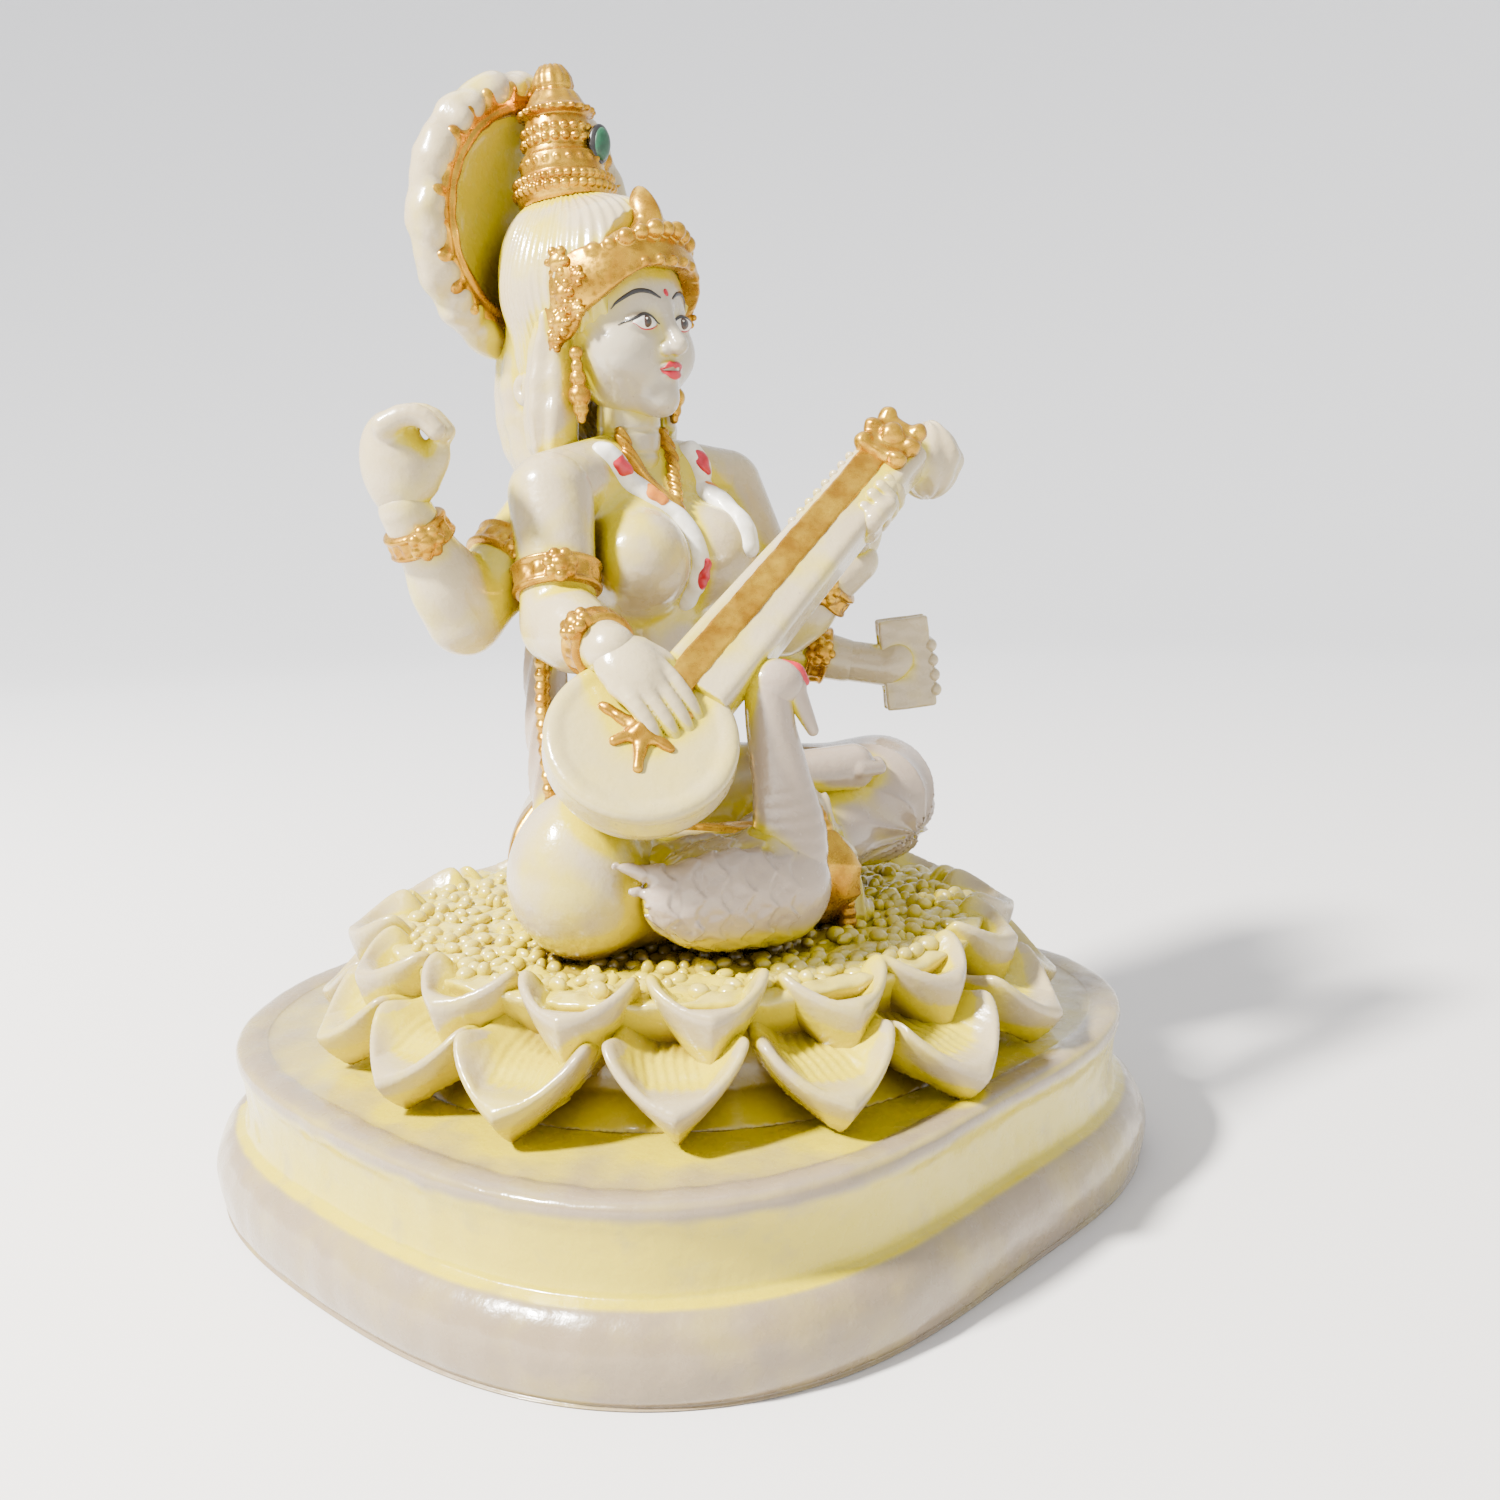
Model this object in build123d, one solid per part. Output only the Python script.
"""Seated four-armed deity statuette on a lotus plinth, built as separate pieces.

Millimetres, +Z up.  The figure faces -Y, so its right hand is on the -X side.
The origin is the centre of the plinth's underside.
"""
import math
import os

from build123d import *

# ---- plinth ---------------------------------------------------------------
lower_tier_height = 10.4      # bulging lower tier
upper_tier_height = 11.3      # stepped upper tier
tier_inset = 2.2              # step between the two tiers
lower_tier_bulge = 3.6        # rounding of the lower tier's wall
upper_tier_lip = 1.6          # rounding of the upper tier's top edge
plinth_margin = 11.2          # from the lotus petal tips to the plinth wall
plan_front_flat = 1.7         # how much flatter the front is than the back
plan_three_lobe = 1.9         # shoulders beside the flat front
plan_four_lobe = 2.6          # squareness of the plan
plan_points = 24              # points on the plan curve

# ---- lotus ----------------------------------------------------------------
seat_radius = 39.0            # flat seat on top of the lotus core
core_height = 14.3            # plinth top to seat
core_waist = 3.0              # how far the core draws in under the upper petals
lotus_offset = -4.8           # the lotus sits slightly forward on the plinth
figure_offset = -3.6          # and so does the figure
petal_count = 16              # petals in each ring
petal_gap = 0.5               # clearance between neighbouring petals
petal_wall = 1.5              # thickness of a petal's cup
petal_root_share = 0.45       # width of a petal's root, as a share of its wedge
petal_hollow_share = 0.8      # width of the hollow at the rim, likewise
petal_shoulder = 0.55         # where a petal is fullest, from its back to its tip
petal_fullness = 0.87          # of its wedge of the ring that a petal fills
petal_rim_cut = 0.1           # the hollow's cutter stands above the rim
lower_petal_reach = 12.4      # petal tips beyond the seat's edge
lower_petal_keel = 8.6        # petal keel points beyond the seat's edge
lower_petal_rise = 6.4        # tip height above the plinth
lower_rim_slope = 26.0        # degrees, rim falls outward
upper_petal_reach = 6.2
upper_petal_keel = 3.4
upper_petal_root = 7.6        # height of the upper keels above the plinth
upper_petal_rise = 16.6
upper_rim_slope = 8.0
upper_petal_phase = 0.2       # share of a petal's pitch that the rings differ by
petal_phase = 19.1            # degrees, where the first petal points
stamen_count = 60
stamen_radius = 1.5
stamen_rings = 2
stamen_ring_step = 3.4

# ---- legs and skirt ---------------------------------------------------------
leg_radius = 9.2              # at the knee
hip_radius = 11.5
shin_radius = 7.6
hip_rise = 10.5               # hip centres above the seat
hip_spread = 8.0
hip_back = 8.0
knee_spread = 25.5
knee_forward = 8.0
knee_rise = 9.4
left_knee_lift = 3.6          # the left knee rides higher than the right
left_knee_forward = 6.0
shin_cross = 4.0              # where the shins cross in front
shin_forward = 13.0
foot_length = 13.0
foot_radius = 3.0
foot_place = (10.0, -15.0, 20.0)
pleat_place = (6.0, -20.5)
pleat_radius = 2.6
pleat_drop = 12.0
scarf_radius = 2.4
band_width = 3.2              # gold borders
band_proud = 0.7              # how far a border stands off what it goes round

# ---- torso, neck and head ---------------------------------------------------
waist_rise = 30.0             # above the seat
waist_radius = 9.4
chest_rise = 47.0
chest_radius = 11.4
shoulder_rise = 57.5
shoulder_spread = 16.5
shoulder_radius = 6.4
shoulder_back = 4.5
torso_back = 5.5
bust_radius = 6.6
bust_spread = 7.2
bust_forward = 3.2
bust_rise = 51.0
neck_radius = 4.2
neck_length = 9.0
head_rise = 80.5              # centre of the face ball above the seat
head_back = 7.0
face_radius = 9.2
jaw_radius = 5.4
jaw_drop = 8.6
jaw_forward = 3.4
hair_radius = 11.2
hair_length = 4.4             # between the centres of its front and back
hair_back_shift = 6.0
hair_lift = 4.0
hair_fall_radius = 6.4
nose_length = 3.0

# ---- crown and halo ---------------------------------------------------------
crown_back = 17.0             # axis of the crown behind the lotus axis
crown_lean = 6.0              # degrees, the crown leans back
crown_foot_rise = 95.0
crown_foot_radius = 7.0
crown_tiers = 3
crown_tier_height = 4.5
crown_tier_step = 1.05        # each tier is this much narrower
crown_lip = 0.8
crown_spire_height = 7.0
crown_leaf_radius = 2.4
tiara_height = 8.0
tiara_peaks = 5
tiara_wall = 1.2
tiara_clearance = 0.4          # the band stands this far off the hair's front
tiara_notch = 5.0
tiara_spread = 80.0           # degrees each side of the front
halo_radius = 17.8
halo_wall = 2.2
halo_dish = 3.0               # depth of the hollow
halo_rise = 96.3
halo_back = 34.0
halo_ring_radius = 14.9
halo_ring_wire = 1.0
halo_scallops = 20
halo_scallop_radius = 2.2
halo_stem_radius = 4.0        # post between the hair and the halo
halo_stem_lift = 2.0

# ---- ornaments --------------------------------------------------------------
earring_drop = 6.0
earring_radius = 1.5
ear_ornament_radius = 4.0
ear_ornament_lift = 3.0
collar_sweep = 75.0           # degrees of the loop each side of the front
necklace_rise = 57.0          # where the loop would close, above the seat
necklace_drop = 5.0
necklace_spread = 6.5
necklace_wire = 1.1
garland_rise = 60.0
garland_drop = 15.0
garland_spread = 9.5
garland_wire = 1.7
bracelet_share = 0.72         # place of a bracelet along the forearm
armlet_share = 0.62           # place of an armlet along the upper arm
armlet_arms = ("front_right", "rear_right", "front_left")
knee_border_share = 0.62

# ---- arms -------------------------------------------------------------------
upper_arm_radius = 4.9
elbow_radius = 4.6
wrist_radius = 3.3
wrist_taper = 0.4             # the forearm is this much thicker under a bracelet
hand_radius = 3.6
finger_radius = 1.15
front_right_upper_arm = (-4.5, -5.5, -16.0)
front_right_forearm = (-4.0, -13.0, -2.0)
front_right_hand = (2.0, -10.5, -9.4)
front_left_upper_arm = (3.5, -7.5, -19.0)
front_left_forearm = (5.0, -9.5, 8.5)
front_left_hand = (0.5, -2.0, 9.0)
rear_right_upper_arm = (-17.0, 1.0, -14.5)
rear_right_forearm = (-6.0, 0.0, 13.5)
rear_right_hand = (-1.0, -1.5, 8.0)
rear_left_upper_arm = (10.0, -5.0, -20.0)
rear_left_forearm = (9.0, -10.0, -3.5)
rear_left_hand = (4.0, -5.0, -1.0)

# ---- veena ------------------------------------------------------------------
gourd_radius = 12.4
gourd_depth = 9.0
gourd_rim = 2.6               # straight rim behind the sound board
board_wall = 1.4
board_inset = 1.2
board_facing = (-0.50, -0.58, 0.64)
board_from_fingers = (-3.5, 4.5, -1.1)
veena_head_from_hand = (-3.0, -5.5, 6.0)
veena_neck_width = 6.4
veena_neck_depth = 4.6
fretboard_width = 3.4
fretboard_wall = 0.9
fret_count = 12
fret_size = 1.1
veena_head_size = 6.4
upper_gourd_radius = 4.2
upper_gourd_from_head = (10.0, 0.5, -1.5)
bridge_length = 9.0

# ---- book, swan ---------------------------------------------------------------
book_size = (7.0, 3.6, 13.0)
book_from_hand = (2.0, -2.0, 0.0)
swan_body_radius = 7.4
swan_body_length = 24.0
swan_tail_length = 8.0
swan_rise = 8.4               # body centre above the seat
swan_place = (-12.0, -24.0)
swan_heading = -28.0          # degrees from +X
swan_neck_radius = 2.7
swan_neck_rise = 25.0
swan_head_radius = 3.0
swan_beak_length = 5.6

# ---- levels -------------------------------------------------------------------
plinth_top = lower_tier_height + upper_tier_height
seat_level = plinth_top + core_height
lotus_centre = Vector(0, lotus_offset, 0)
lotus_tip_radius = seat_radius + lower_petal_reach
plan_radius = lotus_tip_radius + plinth_margin


# ---- helpers --------------------------------------------------------------------
def above_seat(x, y, rise):
    """A point given by its height above the seat."""
    return Vector(x, y + figure_offset, seat_level + rise)


def ball(centre, radius):
    return Pos(*centre) * Sphere(radius)


def limb(start, end, start_radius, end_radius):
    """A tapered rod with round ends, as one turned solid."""
    axis = end - start
    length = axis.length
    foot = Edge.make_three_point_arc(
        (0, 0, -start_radius),
        (start_radius * math.sin(math.pi / 4), 0, -start_radius * math.cos(math.pi / 4)),
        (start_radius, 0, 0),
    )
    side = Edge.make_line((start_radius, 0, 0), (end_radius, 0, length))
    tip = Edge.make_three_point_arc(
        (end_radius, 0, length),
        (end_radius * math.sin(math.pi / 4), 0, length + end_radius * math.cos(math.pi / 4)),
        (0, 0, length + end_radius),
    )
    spine = Edge.make_line((0, 0, length + end_radius), (0, 0, -start_radius))
    profile = Face(Wire([foot, side, tip, spine]))
    rod = revolve(profile, Axis.Z)
    return Plane(origin=start, z_dir=axis) * rod


def egg(centre, direction, half_length, radius):
    """An ellipsoid of revolution about the given direction."""
    half = Edge.make_ellipse(radius, half_length, Plane.XZ, -90, 90)
    spine = Edge.make_line((0, 0, half_length), (0, 0, -half_length))
    body = revolve(Face(Wire([half, spine])), Axis.Z)
    return Plane(origin=centre, z_dir=direction) * body


def band(start, end, share, radius):
    """A short cuff round a limb, at a share of its length."""
    axis = end - start
    middle = start + axis * share
    cuff = Cylinder(radius, band_width)
    return Plane(origin=middle, z_dir=axis) * cuff


def boxes_meet(one, other):
    """Whether the boxes round two shapes overlap."""
    first, second = one.bounding_box(), other.bounding_box()
    return (first.min.X < second.max.X and second.min.X < first.max.X
            and first.min.Y < second.max.Y and second.min.Y < first.max.Y
            and first.min.Z < second.max.Z and second.min.Z < first.max.Z)


def largest_solid(shape):
    return max(shape.solids(), key=lambda solid: solid.volume)


def carve(body, *neighbours):
    """Cuts the neighbours, pieces or groups of them, out of a body; one solid is left."""
    body = largest_solid(body)
    for neighbour in neighbours:
        group = neighbour if isinstance(neighbour, list) else [neighbour]
        for piece in group:
            if boxes_meet(body, piece):
                body = largest_solid(body - piece)
    return body


# ---- plinth ---------------------------------------------------------------------
def plan_face(inset, level):
    """The plinth's plan: a rounded square with a flat front."""
    points = []
    middle = plan_front_flat + plan_three_lobe
    for index in range(plan_points):
        turn = 2 * math.pi * index / plan_points
        radius = plan_radius - inset - plan_front_flat * math.cos(turn)
        radius -= plan_three_lobe * math.cos(3 * turn)
        radius -= plan_four_lobe * math.cos(4 * turn)
        points.append((radius * math.sin(turn), -radius * math.cos(turn) - middle, level))
    return Face(Wire([Edge.make_spline([Vector(*point) for point in points], periodic=True)]))


def make_plinth_lower():
    tier = extrude(plan_face(0, 0), lower_tier_height, dir=(0, 0, 1))
    rims = tier.edges().group_by(Axis.Z)
    tier = fillet(rims[-1], lower_tier_bulge)
    return fillet(tier.edges().group_by(Axis.Z)[0], lower_tier_bulge / 2)


def make_plinth_upper():
    tier = extrude(plan_face(tier_inset + lower_tier_bulge / 2, lower_tier_height),
                   upper_tier_height, dir=(0, 0, 1))
    return fillet(tier.edges().group_by(Axis.Z)[-1], upper_tier_lip)


# ---- lotus ------------------------------------------------------------------------
def make_lotus_core():
    waist_level = plinth_top + core_height / 2
    profile = Polyline(
        (0, plinth_top),
        (seat_radius + core_waist, plinth_top),
        (seat_radius - core_waist, waist_level),
        (seat_radius, seat_level - 1),
        (seat_radius - 1, seat_level),
        (0, seat_level),
        close=True,
    )
    face = Plane.XZ * make_face(profile)
    return Pos(*lotus_centre) * revolve(face, Axis.Z)


def petal_outline(tip, share, level, slope):
    """A pointed arch in plan: its tip outward along +X, its back edge straight.

    The share says how much of a petal's wedge of the ring the outline fills.
    """
    back = seat_radius - core_waist
    spread = math.tan(math.pi / petal_count)
    fall = math.tan(math.radians(slope))
    middle = back + (tip - back) * petal_shoulder

    def rim_point(x, half_width):
        return Vector(x, half_width, level + (tip - x) * fall)

    back_half = (back * spread * petal_fullness - petal_gap / 2) * share
    middle_half = (middle * spread * petal_fullness - petal_gap / 2) * share
    point = rim_point(tip, 0)
    left = Edge.make_three_point_arc(
        rim_point(back, back_half), rim_point(middle, middle_half), point)
    right = Edge.make_three_point_arc(
        point, rim_point(middle, -middle_half), rim_point(back, -back_half))
    heel = Edge.make_line(rim_point(back, -back_half), rim_point(back, back_half))
    return Wire([left, right, heel])


def petal_cup(keel, tip, root_level, tip_level, slope):
    """One cupped petal: a pointed scoop that narrows to a keel at its root."""
    outer = Solid.make_loft(
        [petal_outline(keel, petal_root_share, root_level, 0),
         petal_outline(tip, 1.0, tip_level, slope)], True)
    inner = Solid.make_loft(
        [petal_outline(keel - petal_wall, petal_root_share / 2, root_level + petal_wall, 0),
         petal_outline(tip - petal_wall, petal_hollow_share, tip_level + petal_rim_cut, slope)],
        True)
    return outer - inner


def ring_of(piece):
    """Copies of one petal all round the lotus."""
    pitch = 360 / petal_count
    lotus = Pos(*lotus_centre)
    return [lotus * Rot(0, 0, petal_phase + index * pitch) * piece
            for index in range(petal_count)]


def lower_petal(core):
    cup = petal_cup(seat_radius + lower_petal_keel, lotus_tip_radius, plinth_top,
                    plinth_top + lower_petal_rise, lower_rim_slope)
    return carve(cup, Pos(*-lotus_centre) * core)


def upper_petal(core, below):
    """One upper petal, cut to sit between the lower petals beside it."""
    cup = petal_cup(seat_radius + upper_petal_keel, seat_radius + upper_petal_reach,
                    plinth_top + upper_petal_root, plinth_top + upper_petal_rise,
                    upper_rim_slope)
    pitch = 360 / petal_count
    cup = Rot(0, 0, upper_petal_phase * pitch) * cup
    beside = [Rot(0, 0, index * pitch) * below for index in (-1, 0, 1)]
    return carve(cup, Pos(*-lotus_centre) * core, *beside)


def make_stamens(core, *neighbours):
    """Grains in rings on the seat, half sunk in it, where nothing sits on them."""
    pieces = []
    outermost = seat_radius - core_waist - stamen_radius - petal_gap
    lotus = Pos(*lotus_centre)
    for ring in range(stamen_rings):
        radius = outermost - ring * stamen_ring_step
        grain = ball(Vector(radius, 0, seat_level), stamen_radius)
        grain = carve(grain, Pos(*-lotus_centre) * core)
        for index in range(stamen_count):
            turn = 360 * (index + ring / 2) / stamen_count
            copy = lotus * Rot(0, 0, turn) * grain
            if stands_clear(copy, neighbours):
                pieces.append(copy)
    return pieces


def stands_clear(piece, neighbours):
    for neighbour in neighbours:
        group = neighbour if isinstance(neighbour, list) else [neighbour]
        for other in group:
            if boxes_meet(piece, other) and piece.distance_to(other) < petal_gap:
                return False
    return True


# ---- skeleton of the figure ---------------------------------------------------------
right_hip = above_seat(-hip_spread, hip_back, hip_rise)
left_hip = above_seat(hip_spread, hip_back, hip_rise)
right_knee = above_seat(-knee_spread, -knee_forward, knee_rise)
left_knee = above_seat(knee_spread, -knee_forward - left_knee_forward,
                       knee_rise + left_knee_lift)
right_ankle = above_seat(shin_cross, -shin_forward - shin_radius, shin_radius)
left_ankle = above_seat(-shin_cross, -shin_forward, shin_radius - 1)
waist = above_seat(0, torso_back, waist_rise)
chest = above_seat(0, torso_back, chest_rise)
right_shoulder = above_seat(-shoulder_spread, shoulder_back, shoulder_rise)
left_shoulder = above_seat(shoulder_spread, shoulder_back, shoulder_rise)
neck_foot = above_seat(0, head_back, shoulder_rise)
neck_top = neck_foot + Vector(0, 0, neck_length)
face_centre = above_seat(0, head_back, head_rise)
hair_centre = face_centre + Vector(0, hair_back_shift, hair_lift)
rear_right_shoulder = right_shoulder + Vector(upper_arm_radius, upper_arm_radius, -2)
rear_left_shoulder = left_shoulder + Vector(-upper_arm_radius, upper_arm_radius, -2)


def arm_points(shoulder, upper_arm, forearm, hand):
    """Shoulder, elbow, wrist and fingertip of one arm."""
    elbow = shoulder + Vector(*upper_arm)
    wrist = elbow + Vector(*forearm)
    return shoulder, elbow, wrist, wrist + Vector(*hand)


arms = {
    "front_right": arm_points(right_shoulder, front_right_upper_arm,
                              front_right_forearm, front_right_hand),
    "front_left": arm_points(left_shoulder, front_left_upper_arm,
                             front_left_forearm, front_left_hand),
    "rear_right": arm_points(rear_right_shoulder, rear_right_upper_arm,
                             rear_right_forearm, rear_right_hand),
    "rear_left": arm_points(rear_left_shoulder, rear_left_upper_arm,
                            rear_left_forearm, rear_left_hand),
}

# The sound board faces right, forward and up; the veena's neck lies in its plane.
board_centre = arms["front_right"][3] + Vector(*board_from_fingers)
board_normal = Vector(*board_facing).normalized()
veena_head_centre = arms["front_left"][3] + Vector(*veena_head_from_hand)
veena_axis = (veena_head_centre - board_centre).normalized()
board_normal = (board_normal - veena_axis * board_normal.dot(veena_axis)).normalized()
swan_centre = above_seat(swan_place[0], swan_place[1], swan_rise)
swan_axis = Vector(math.cos(math.radians(swan_heading)), math.sin(math.radians(swan_heading)), 0)
crown_axis = Vector(0, math.sin(math.radians(crown_lean)), math.cos(math.radians(crown_lean)))
crown_foot = above_seat(0, crown_back, crown_foot_rise)
halo_axis = Vector(0, -1, 0)
halo_centre = above_seat(0, halo_back, halo_rise)


# ---- figure ---------------------------------------------------------------------------
def make_legs(core):
    """Folded legs: thigh, knee and shin, the right one in front at the ankles."""
    right = limb(right_hip, right_knee, hip_radius, leg_radius)
    right += limb(right_knee, right_ankle, leg_radius, shin_radius)
    left = limb(left_hip, left_knee, hip_radius, leg_radius)
    left += limb(left_knee, left_ankle, leg_radius, shin_radius)
    right = carve(right, core)
    return right, carve(left, core, right)


def make_torso(*neighbours):
    body = limb(waist, chest, waist_radius, chest_radius)
    body += limb(right_hip, waist, waist_radius, waist_radius)
    body += limb(left_hip, waist, waist_radius, waist_radius)
    body += limb(right_shoulder, chest, shoulder_radius, shoulder_radius)
    body += limb(left_shoulder, chest, shoulder_radius, shoulder_radius)
    for side in (-1, 1):
        body += ball(above_seat(side * bust_spread, torso_back - bust_forward - bust_radius,
                                bust_rise), bust_radius)
    return carve(body, *neighbours)


def make_neck(torso):
    return carve(limb(neck_foot, neck_top, neck_radius, neck_radius), torso)


def make_head(neck):
    """Face ball, jaw and nose; the head is shut over by the hair."""
    jaw = face_centre + Vector(0, -jaw_forward, -jaw_drop)
    nose_top = face_centre + Vector(0, -face_radius, 0)
    nose_tip = nose_top + Vector(0, -1.0, -nose_length)
    head = limb(face_centre, jaw, face_radius, jaw_radius)
    head += limb(nose_top, nose_tip, 0.6, 1.1)
    return carve(head, neck)


def make_hair(*neighbours):
    front = hair_centre - Vector(0, hair_length / 2, 0)
    back = hair_centre + Vector(0, hair_length / 2, 0)
    return carve(limb(front, back, hair_radius, hair_radius), *neighbours)


def make_hair_fall(*neighbours):
    """The tail of hair that hangs down the back."""
    top = hair_centre + Vector(0, hair_fall_radius, -hair_fall_radius)
    foot = chest + Vector(0, chest_radius - 2, 2)
    return carve(limb(top, foot, hair_fall_radius, hair_fall_radius - 1.3), *neighbours)


def crown_place():
    return Plane(origin=crown_foot, x_dir=(1, 0, 0), z_dir=crown_axis)


def crown_tier_radius(index):
    return crown_foot_radius - index * crown_tier_step


def make_crown_tier(index, *neighbours):
    """A drum of the crown, wider at its top and foot."""
    radius = crown_tier_radius(index)
    top = radius - crown_tier_step / 2
    profile = Polyline(
        (0, 0), (radius, 0), (radius, crown_lip), (top - crown_lip, crown_tier_height / 2),
        (top, crown_tier_height - crown_lip), (top, crown_tier_height), (0, crown_tier_height),
        close=True,
    )
    tier = revolve(Plane.XZ * make_face(profile), Axis.Z)
    level = Pos(0, 0, index * crown_tier_height)
    return carve(crown_place() * level * tier, *neighbours)


def make_crown_spire():
    radius = crown_tier_radius(crown_tiers) - crown_tier_step / 2
    height = crown_spire_height
    profile = Polyline(
        (0, 0), (radius, 0), (radius, crown_lip), (radius / 2, height / 2),
        (radius / 3, height - 1), (radius / 3 - 0.6, height), (0, height),
        close=True,
    )
    spire = revolve(Plane.XZ * make_face(profile), Axis.Z)
    return crown_place() * Pos(0, 0, crown_tiers * crown_tier_height) * spire


def make_crown_leaf(*neighbours):
    """A leaf-shaped gem standing on the front of the crown."""
    level = crown_tier_height * 1.9
    centre = crown_foot + crown_axis * level + Vector(0, -crown_foot_radius, 0)
    tip = centre + crown_axis * crown_leaf_radius * 1.6
    return carve(limb(centre, tip, crown_leaf_radius * 0.7, crown_leaf_radius * 0.3),
                 *neighbours)


def make_tiara(*neighbours):
    """A pointed plate round the front of the hair."""
    inner = hair_radius + tiara_clearance
    height = tiara_height * 2
    ring = Cylinder(inner + tiara_wall, height) - Cylinder(inner, height)
    place = Pos(*hair_centre) * Rot(-12, 0, 0) * Pos(0, 0, tiara_height)
    ring = place * ring
    reach = inner + tiara_wall + 1
    front = hair_centre + Vector(0, -reach, 0)
    ring = ring & (Pos(*front) * Box(reach * 2, reach * 1.6, reach * 2.4))
    for index in range(tiara_peaks + 1):
        turn = math.radians(tiara_spread * (2 * index / tiara_peaks - 1))
        facing = Vector(math.sin(turn), -math.cos(turn), 0)
        notch = Plane(origin=hair_centre + Vector(0, 0, tiara_height * 1.6),
                      x_dir=(0, 0, 1), z_dir=facing)
        ring = ring - notch * extrude(Rot(0, 0, 45) * Rectangle(tiara_notch, tiara_notch),
                                      reach * 2)
    return carve(ring, *neighbours)


def halo_plate():
    """The halo lying flat on its back: a round plate, hollowed on its front."""
    rim = halo_wall + halo_dish
    profile = Polyline(
        (0, 0), (halo_radius, 0), (halo_radius, rim), (halo_radius - halo_wall, rim),
        (halo_radius * 0.6, halo_wall * 1.6), (0, halo_wall),
        close=True,
    )
    return revolve(Plane.XZ * make_face(profile), Axis.Z)


def halo_place():
    return Plane(origin=halo_centre, x_dir=(1, 0, 0), z_dir=halo_axis)


def make_halo_ring(dish):
    ring = Torus(halo_ring_radius, halo_ring_wire)
    level = halo_wall * 1.6 + halo_dish * 0.55
    return carve(halo_place() * Pos(0, 0, level) * ring, dish)


def make_halo_border():
    """Scallops round the rim of the halo."""
    level = halo_wall + halo_dish / 2
    scallop = Pos(halo_radius, 0, level) * Rot(0, 90, 0) * Sphere(halo_scallop_radius)
    scallop = carve(scallop, halo_plate())
    return [halo_place() * Rot(0, 0, index * 360 / halo_scallops) * scallop
            for index in range(halo_scallops)]


def make_halo_stem(*neighbours):
    """The post that carries the halo on the back of the hair."""
    back = halo_centre + halo_axis * halo_wall / 2
    front = Vector(0, hair_centre.Y + hair_radius / 2, hair_centre.Z + halo_stem_lift)
    return carve(limb(front, back, halo_stem_radius, halo_stem_radius), *neighbours)


def make_arm(name, *neighbours):
    shoulder, elbow, wrist, _ = arms[name]
    arm = limb(shoulder, elbow, upper_arm_radius, elbow_radius)
    arm += limb(elbow, wrist, elbow_radius, wrist_radius)
    return carve(arm, *neighbours)


def make_open_hand(name, side, *neighbours):
    """A palm and four fingers lying side by side, and a thumb."""
    wrist, tip = arms[name][2], arms[name][3]
    reach = tip - wrist
    palm_end = wrist + reach * 0.45
    hand = limb(wrist, palm_end, wrist_radius, hand_radius - 0.6)
    across = reach.cross(Vector(*side)).normalized()
    for index in range(4):
        shift = across * ((index - 1.5) * finger_radius * 1.9)
        hand += limb(palm_end + shift * 0.8, tip + shift - reach * 0.06 * abs(index - 1.5),
                     finger_radius * 1.1, finger_radius)
    hand += limb(wrist + across * hand_radius * 0.6, palm_end + across * hand_radius * 1.3,
                 finger_radius * 1.2, finger_radius)
    return carve(hand, *neighbours)


def make_fist(name, *neighbours):
    """A closed hand: a rounded palm with four knuckles over it."""
    wrist, tip = arms[name][2], arms[name][3]
    reach = tip - wrist
    middle = wrist + reach * 0.55
    hand = limb(wrist, middle, wrist_radius, hand_radius)
    across = reach.cross(Vector(0, 1, 0)).normalized()
    for index in range(4):
        knuckle = middle + reach * 0.25 + across * ((index - 1.5) * finger_radius * 1.8)
        hand += limb(knuckle, knuckle + Vector(0, -hand_radius, 0) - reach * 0.2,
                     finger_radius * 1.2, finger_radius)
    return carve(hand, *neighbours)


def make_cuff(name, first, share, radius, *neighbours):
    """A bracelet or armlet: a short cuff that goes round one run of the arm."""
    points = arms[name]
    ring = band(points[first], points[first + 1], share, radius + band_proud)
    return carve(ring, *neighbours)


def make_earring(side, *neighbours):
    hook = face_centre + Vector(side * face_radius, 1.0, -earring_drop / 2)
    drop = hook + Vector(0, 0, -earring_drop)
    ring = limb(hook, drop, earring_radius * 0.7, earring_radius)
    return carve(ring, *neighbours)


def make_ear_ornament(side, *neighbours):
    centre = face_centre + Vector(side * face_radius, 0.5, ear_ornament_lift)
    disc = Plane(origin=centre, z_dir=(side, -0.35, 0)) * Cylinder(ear_ornament_radius, 3.0)
    return carve(disc, *neighbours)


def front_of(body, x, z):
    """The foremost point of a body at the given place in front view."""
    sight = Axis((x, -plan_radius, z), (0, 1, 0))
    hits = [point for point, _ in body.find_intersection_points(sight)]
    return min(hits, key=lambda point: point.Y)


def make_collar(torso, top_rise, drop, spread, wire, count, *neighbours):
    """A string of linked beads that hangs in a loop over the chest."""
    points = []
    for index in range(count + 1):
        turn = math.radians(collar_sweep * (2 * index / count - 1))
        x = spread * math.sin(turn)
        z = seat_level + top_rise - drop * math.cos(turn)
        points.append(front_of(torso, x, z))
    string = limb(points[0], points[1], wire, wire)
    for start, end in zip(points[1:-1], points[2:]):
        string += limb(start, end, wire, wire)
    return carve(string, *neighbours)


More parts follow.
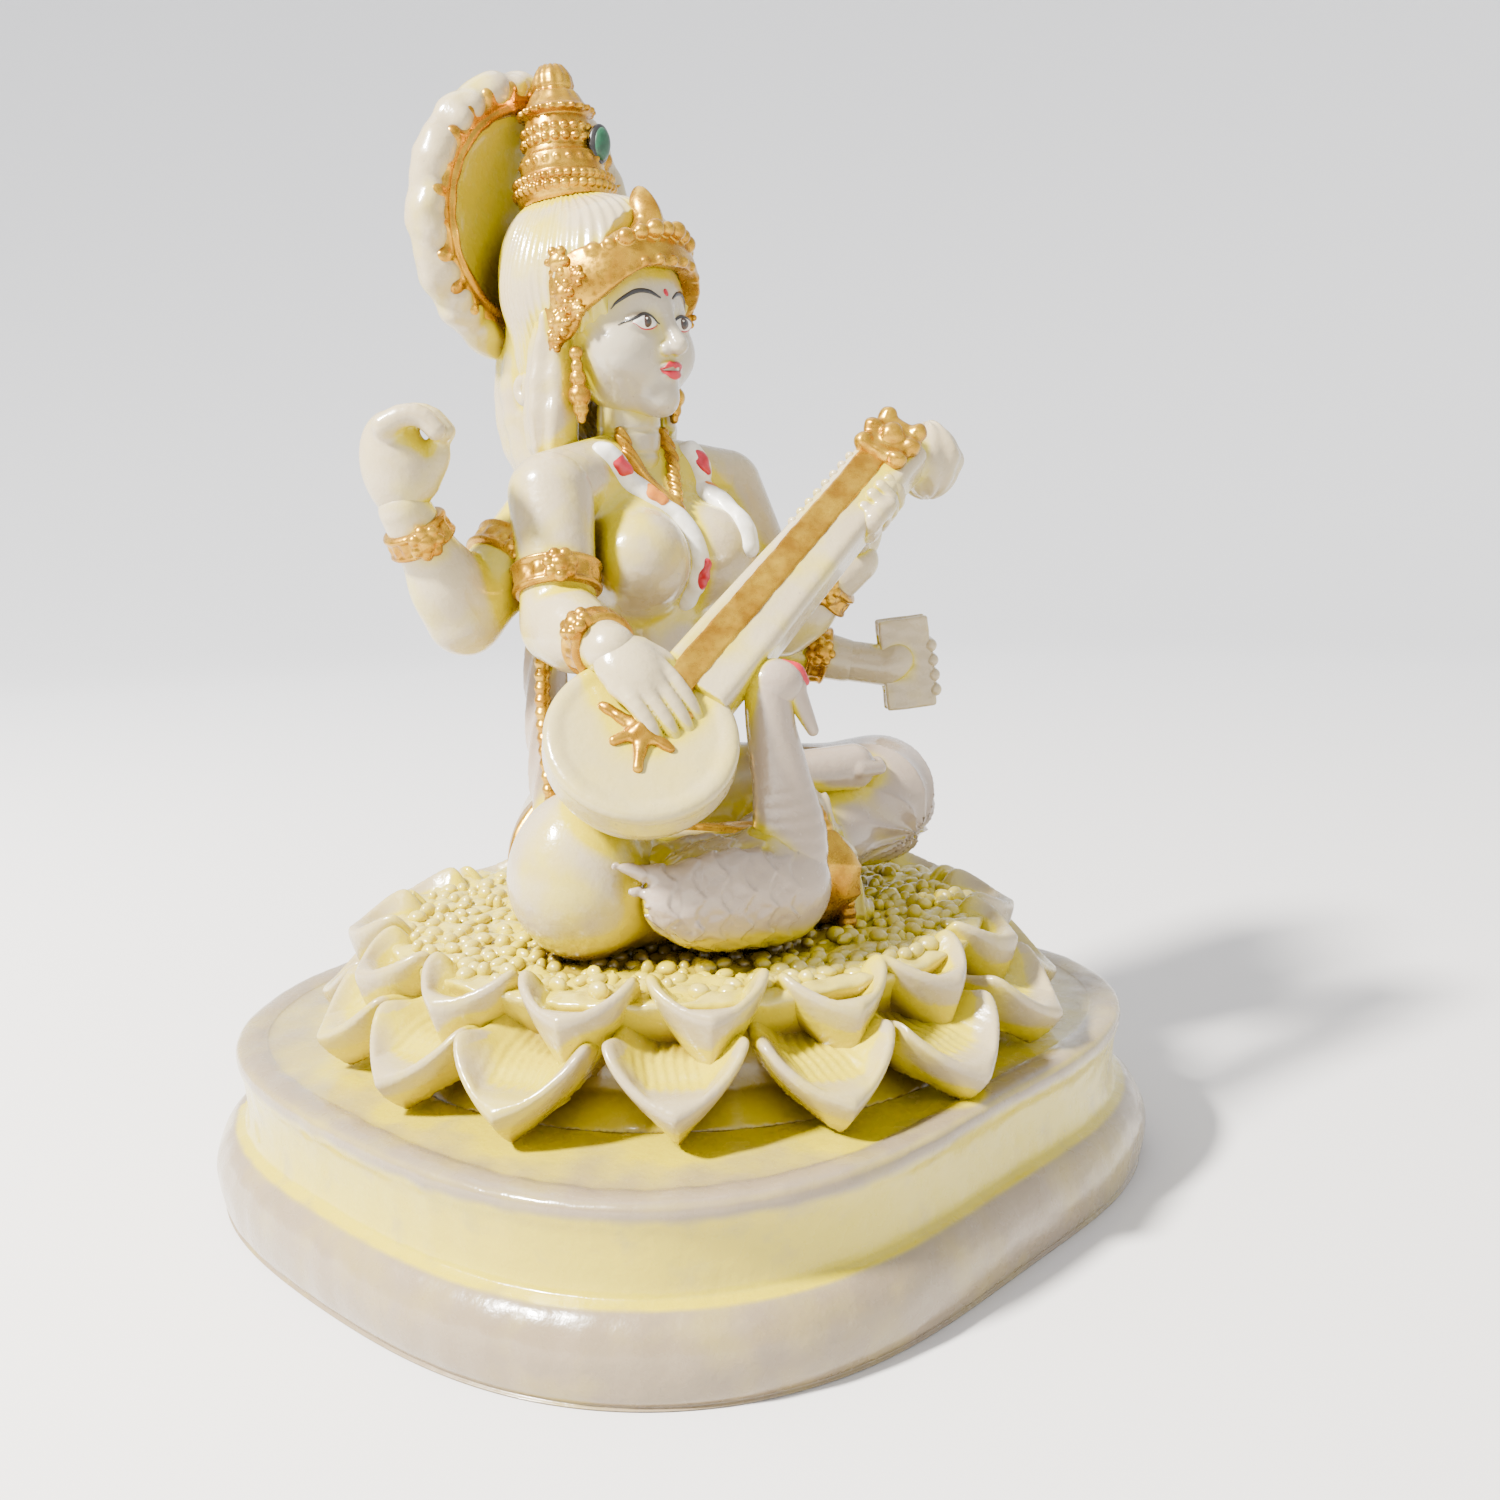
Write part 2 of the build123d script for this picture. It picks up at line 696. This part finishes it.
def make_gourd(*neighbours):
    """The veena's round body: a short rim behind the board, then a bowl."""
    back = gourd_rim + gourd_depth
    level = Plane(origin=(0, 0, -gourd_rim), x_dir=(1, 0, 0), z_dir=(0, -1, 0))
    bowl = Edge.make_ellipse(gourd_radius, gourd_depth, level, -90, 0)
    rim = Edge.make_line((gourd_radius, 0, 0), (gourd_radius, 0, -gourd_rim))
    face = Edge.make_line((0, 0, 0), (gourd_radius, 0, 0))
    spine = Edge.make_line((0, 0, -back), (0, 0, 0))
    body = revolve(Face(Wire([face, rim, bowl, spine])), Axis.Z)
    body = body - Pos(0, 0, -board_wall / 2) * Cylinder(gourd_radius - board_inset, board_wall)
    return carve(board_place() * body, *neighbours)


def board_place():
    return Plane(origin=board_centre, x_dir=veena_axis, z_dir=board_normal)


def make_sound_board():
    board = Cylinder(gourd_radius - board_inset, board_wall)
    return board_place() * Pos(0, 0, -board_wall / 2) * board


def make_bridge(*neighbours):
    """A crossed bridge standing on the sound board."""
    bridge = Box(bridge_length, 1.8, 1.2) + Rot(0, 0, 60) * Box(bridge_length * 0.7, 1.8, 1.2)
    bridge = Pos(-gourd_radius * 0.3, -0.5, 0.6) * bridge
    return carve(board_place() * bridge, *neighbours)


def veena_run():
    """From the rim of the gourd to the head block."""
    return (veena_head_centre - board_centre).length


def make_veena_neck(*neighbours):
    start = gourd_radius - board_inset
    length = veena_run() - start
    bar = Box(length, veena_neck_width, veena_neck_depth)
    bar = fillet(bar.edges().filter_by(Axis.X).group_by(Axis.Z)[0], veena_neck_depth * 0.4)
    bar = Pos(start + length / 2, 0, -veena_neck_depth / 2) * bar
    return carve(board_place() * bar, *neighbours)


def make_fretboard(*neighbours):
    start = gourd_radius + 0.5
    length = veena_run() - start - veena_head_size / 2
    strip = Pos(start + length / 2, 0, fretboard_wall / 2) * Box(
        length, fretboard_width, fretboard_wall)
    return carve(board_place() * strip, *neighbours)


def make_frets(*neighbours):
    """Small studs along the upper edge of the neck."""
    start = gourd_radius + 12
    pitch = (veena_run() - start - veena_head_size) / fret_count
    pieces = []
    for index in range(fret_count):
        across = (fretboard_width + fret_size) / 2
        centre = Pos(start + index * pitch, across, fret_size / 2)
        pieces.append(carve(board_place() * centre * Box(fret_size, fret_size, fret_size),
                            *neighbours))
    return pieces


def make_veena_head(*neighbours):
    block = Box(veena_head_size, veena_neck_width, veena_head_size)
    block = fillet(block.edges(), 1.2)
    place = Pos(veena_run() - veena_head_size / 2, 0, -veena_head_size / 2 + 1.5)
    return carve(board_place() * place * block, *neighbours)


def make_upper_gourd(*neighbours):
    end = veena_head_centre + Vector(*upper_gourd_from_head)
    bulb = limb(veena_head_centre, end, upper_gourd_radius * 0.75, upper_gourd_radius)
    return carve(bulb, *neighbours)


def make_book(*neighbours):
    centre = arms["rear_left"][3] + Vector(*book_from_hand)
    slab = fillet(Box(*book_size).edges().filter_by(Axis.Z), 0.6)
    place = Plane(origin=centre, x_dir=(0.7, -0.7, 0.1), z_dir=(0.05, -0.05, 1))
    return carve(place * slab, *neighbours)


def swan_point(along, rise):
    return swan_centre + swan_axis * along + Vector(0, 0, rise)


def make_swan_body(*neighbours):
    body = egg(swan_centre, swan_axis, swan_body_length / 2, swan_body_radius)
    return carve(body, *neighbours)


def make_swan_tail(*neighbours):
    root = swan_point(-swan_body_length * 0.3, 2)
    tip = root - swan_axis * swan_tail_length + Vector(0, 0, swan_tail_length * 0.5)
    return carve(limb(root, tip, swan_body_radius * 0.5, 1.0), *neighbours)


def swan_neck_points():
    breast = swan_point(swan_body_length * 0.3, 2)
    bend = swan_point(swan_body_length * 0.22, swan_neck_rise * 0.55)
    head = swan_point(swan_body_length * 0.02, swan_neck_rise)
    return breast, bend, head


def make_swan_neck(*neighbours):
    breast, bend, head = swan_neck_points()
    neck = limb(breast, bend, swan_neck_radius * 1.6, swan_neck_radius)
    neck += limb(bend, head, swan_neck_radius, swan_neck_radius * 0.9)
    return carve(neck, *neighbours)


def make_swan_head(*neighbours):
    head = swan_neck_points()[2]
    brow = head + swan_axis * 2.0 + Vector(0, 0, 0.6)
    return carve(limb(head + Vector(0, 0, 1.2), brow, swan_head_radius, swan_head_radius * 0.8),
                 *neighbours)


def make_swan_beak(*neighbours):
    root = swan_neck_points()[2] + swan_axis * 3.4
    tip = root + swan_axis * swan_beak_length * 0.55 + Vector(0, 0, -swan_beak_length)
    return carve(limb(root, tip, 1.5, 0.6), *neighbours)


def make_swan_crest(*neighbours):
    top = swan_neck_points()[2] + Vector(0, 0, swan_head_radius + 0.6)
    back = top - swan_axis * 2
    return carve(limb(top, back, 1.1, 0.6), *neighbours)


def make_foot(side, *neighbours):
    heel = above_seat(side * foot_place[0], foot_place[1], foot_place[2])
    toes = heel + Vector(side * foot_length * 0.75, -foot_length * 0.25, 0)
    foot = limb(heel, toes, foot_radius, foot_radius * 0.6)
    return carve(foot, *neighbours)


def make_knee_border(hip, knee, share, *neighbours):
    ring = band(hip, knee, share, leg_radius + (hip_radius - leg_radius) * (1 - share)
                + band_proud)
    return carve(ring, *neighbours)


def make_pleats(*neighbours):
    """Folds of the skirt that fall in front between the shins."""
    top = above_seat(pleat_place[0], pleat_place[1], pleat_drop)
    foot = above_seat(pleat_place[0], pleat_place[1] - 1.5, 0)
    cloth = limb(top, foot, pleat_radius * 0.7, pleat_radius)
    for side in (-1, 1):
        shift = Vector(side * pleat_radius, 1, 0)
        cloth += limb(top + shift * 0.5, foot + shift, pleat_radius * 0.6, pleat_radius * 0.8)
    return carve(cloth, *neighbours)


def make_pleat_border(*neighbours):
    shift = Vector(pleat_radius * 1.6, 0, 0)
    top = above_seat(pleat_place[0], pleat_place[1] - 1, pleat_drop) + shift * 0.6
    foot = above_seat(pleat_place[0], pleat_place[1] - 2.5, 1.2) + shift
    return carve(limb(top, foot, 0.9, 1.1), *neighbours)


def make_scarf(*neighbours):
    """A shawl end that falls from the elbow to the hip."""
    top = arms["front_right"][1] + Vector(1, 4, -1)
    foot = right_hip + Vector(-hip_radius * 0.8, -1, hip_radius * 0.6)
    return carve(limb(top, foot, scarf_radius, scarf_radius * 1.3), *neighbours)


def make_sash(*neighbours):
    sash = Pos(0, 0, -1) * Cylinder(waist_radius + band_proud, band_width * 1.4)
    place = Plane(origin=waist + Vector(0, 0, -4), z_dir=(0, 0.1, 1))
    return carve(place * sash, *neighbours)


# ---- assembly -----------------------------------------------------------------------------
def add_lotus(nodes):
    core = make_lotus_core()
    nodes["lotus_core"] = core
    below = lower_petal(core)
    above = upper_petal(core, below)
    nodes["lotus_lower_petals"] = ring_of(below)
    nodes["lotus_upper_petals"] = ring_of(above)


def add_body(nodes):
    """Legs, torso, neck, head and hair, each cut to the one it stands on."""
    right_leg, left_leg = make_legs(nodes["lotus_core"])
    nodes["right_leg"] = right_leg
    nodes["left_leg"] = left_leg
    torso = make_torso(right_leg, left_leg)
    nodes["torso"] = torso
    nodes["neck"] = make_neck(torso)
    nodes["head"] = make_head(nodes["neck"])
    nodes["hair"] = make_hair(nodes["head"], nodes["neck"], torso)
    nodes["hair_fall"] = make_hair_fall(nodes["hair"], nodes["head"], nodes["neck"], torso)
    nodes["right_foot"] = make_foot(1, left_leg, right_leg, torso)


def add_crown(nodes):
    hair = nodes["hair"]
    tiers = []
    for index in range(crown_tiers):
        tiers.append(make_crown_tier(index, hair))
    nodes["crown_tiers"] = tiers
    nodes["crown_spire"] = make_crown_spire()
    nodes["crown_leaf"] = make_crown_leaf(tiers)
    nodes["tiara"] = make_tiara(nodes["head"], hair, tiers)
    nodes["halo_dish"] = largest_solid(halo_place() * halo_plate())
    nodes["halo_ring"] = make_halo_ring(nodes["halo_dish"])
    nodes["halo_border"] = make_halo_border()
    nodes["halo_stem"] = make_halo_stem(nodes["halo_dish"], hair, tiers)


def add_arms(nodes):
    body = [nodes[name] for name in ("right_leg", "left_leg", "torso", "neck", "hair_fall")]
    limbs = []
    for name in arms:
        limbs.append(make_arm(name, *body, limbs))
        nodes[name + "_arm"] = limbs[-1]
    return limbs


def add_veena(nodes, limbs):
    gourd = make_gourd(nodes["right_leg"], nodes["left_leg"], nodes["torso"], limbs)
    nodes["veena_gourd"] = gourd
    board = carve(make_sound_board(), gourd, limbs)
    nodes["veena_sound_board"] = board
    neck = make_veena_neck(gourd, board, nodes["torso"], limbs)
    nodes["veena_neck"] = neck
    strip = make_fretboard(neck, gourd)
    nodes["veena_fretboard"] = strip
    nodes["veena_frets"] = make_frets(neck, strip)
    nodes["veena_head"] = make_veena_head(neck, strip)
    nodes["veena_upper_gourd"] = make_upper_gourd(nodes["veena_head"], neck)
    return [nodes[name] for name in nodes if name.startswith("veena")]


def add_hands(nodes, limbs, veena):
    nodes["front_right_hand"] = make_open_hand("front_right", board_normal, *veena, limbs)
    nodes["front_left_hand"] = make_open_hand("front_left", board_normal, *veena, limbs)
    nodes["rear_right_hand"] = make_fist("rear_right", limbs)
    nodes["rear_left_hand"] = make_fist("rear_left", nodes["left_leg"], limbs)
    hands = [nodes[name + "_hand"] for name in arms]
    nodes["veena_bridge"] = make_bridge(*veena, hands)
    nodes["book"] = make_book(nodes["left_leg"], limbs, hands)


def add_swan(nodes):
    legs = [nodes["right_leg"], nodes["left_leg"]]
    veena = [nodes["veena_gourd"], nodes["veena_neck"], nodes["veena_sound_board"]]
    body = make_swan_body(nodes["lotus_core"], legs, veena)
    nodes["swan_body"] = body
    nodes["swan_tail"] = make_swan_tail(body, legs, veena)
    neck = make_swan_neck(body, legs, veena)
    nodes["swan_neck"] = neck
    head = make_swan_head(neck, veena)
    nodes["swan_head"] = head
    nodes["swan_beak"] = make_swan_beak(head, neck, veena)
    nodes["swan_crest"] = make_swan_crest(head)


def add_dress(nodes):
    """The gold trim, jewellery and loose cloth, cut to what they go round."""
    figure = [nodes[name] for name in nodes
              if name == "lotus_core" or not name.startswith(("plinth", "lotus"))]
    nodes["skirt_pleats"] = make_pleats(*figure)
    nodes["pleat_border"] = make_pleat_border(*figure, nodes["skirt_pleats"])
    nodes["knee_borders"] = [
        make_knee_border(right_hip, right_knee, knee_border_share, *figure),
        make_knee_border(left_hip, left_knee, knee_border_share, *figure),
    ]
    nodes["scarf"] = make_scarf(*figure, nodes["knee_borders"])
    nodes["waist_sash"] = make_sash(*figure, nodes["scarf"])
    cuffs = [nodes["scarf"]]
    for name in arms:
        cuffs.append(make_cuff(name, 1, bracelet_share, wrist_radius + wrist_taper,
                               *figure, list(cuffs)))
    nodes["bracelets"] = cuffs[1:]
    for name in armlet_arms:
        cuffs.append(make_cuff(name, 0, armlet_share, upper_arm_radius, *figure, list(cuffs)))
    nodes["armlets"] = cuffs[1 + len(arms):]
    nodes["ear_ornaments"] = [make_ear_ornament(side, *figure) for side in (-1, 1)]
    nodes["earrings"] = [make_earring(side, *figure, nodes["ear_ornaments"])
                         for side in (-1, 1)]
    nodes["necklace"] = make_collar(nodes["torso"], necklace_rise, necklace_drop,
                                    necklace_spread, necklace_wire, 8, *figure)
    nodes["garland"] = make_collar(nodes["torso"], garland_rise, garland_drop,
                                   garland_spread, garland_wire, 10,
                                   *figure, nodes["necklace"])


def build_nodes():
    nodes = {"plinth_lower": make_plinth_lower(), "plinth_upper": make_plinth_upper()}
    add_lotus(nodes)
    add_body(nodes)
    add_crown(nodes)
    limbs = add_arms(nodes)
    veena = add_veena(nodes, limbs)
    add_hands(nodes, limbs, veena)
    add_swan(nodes)
    add_dress(nodes)
    on_seat = [nodes[name] for name in
               ("right_leg", "left_leg", "torso", "swan_body", "skirt_pleats", "pleat_border",
                "knee_borders", "scarf")]
    nodes["stamens"] = make_stamens(nodes["lotus_core"], *on_seat)
    return nodes


def main():
    os.makedirs("parts", exist_ok=True)
    for name, shape in build_nodes().items():
        body = Compound(shape) if isinstance(shape, list) else shape
        export_step(body, f"parts/{name}.step")


if __name__ == "__main__":
    main()
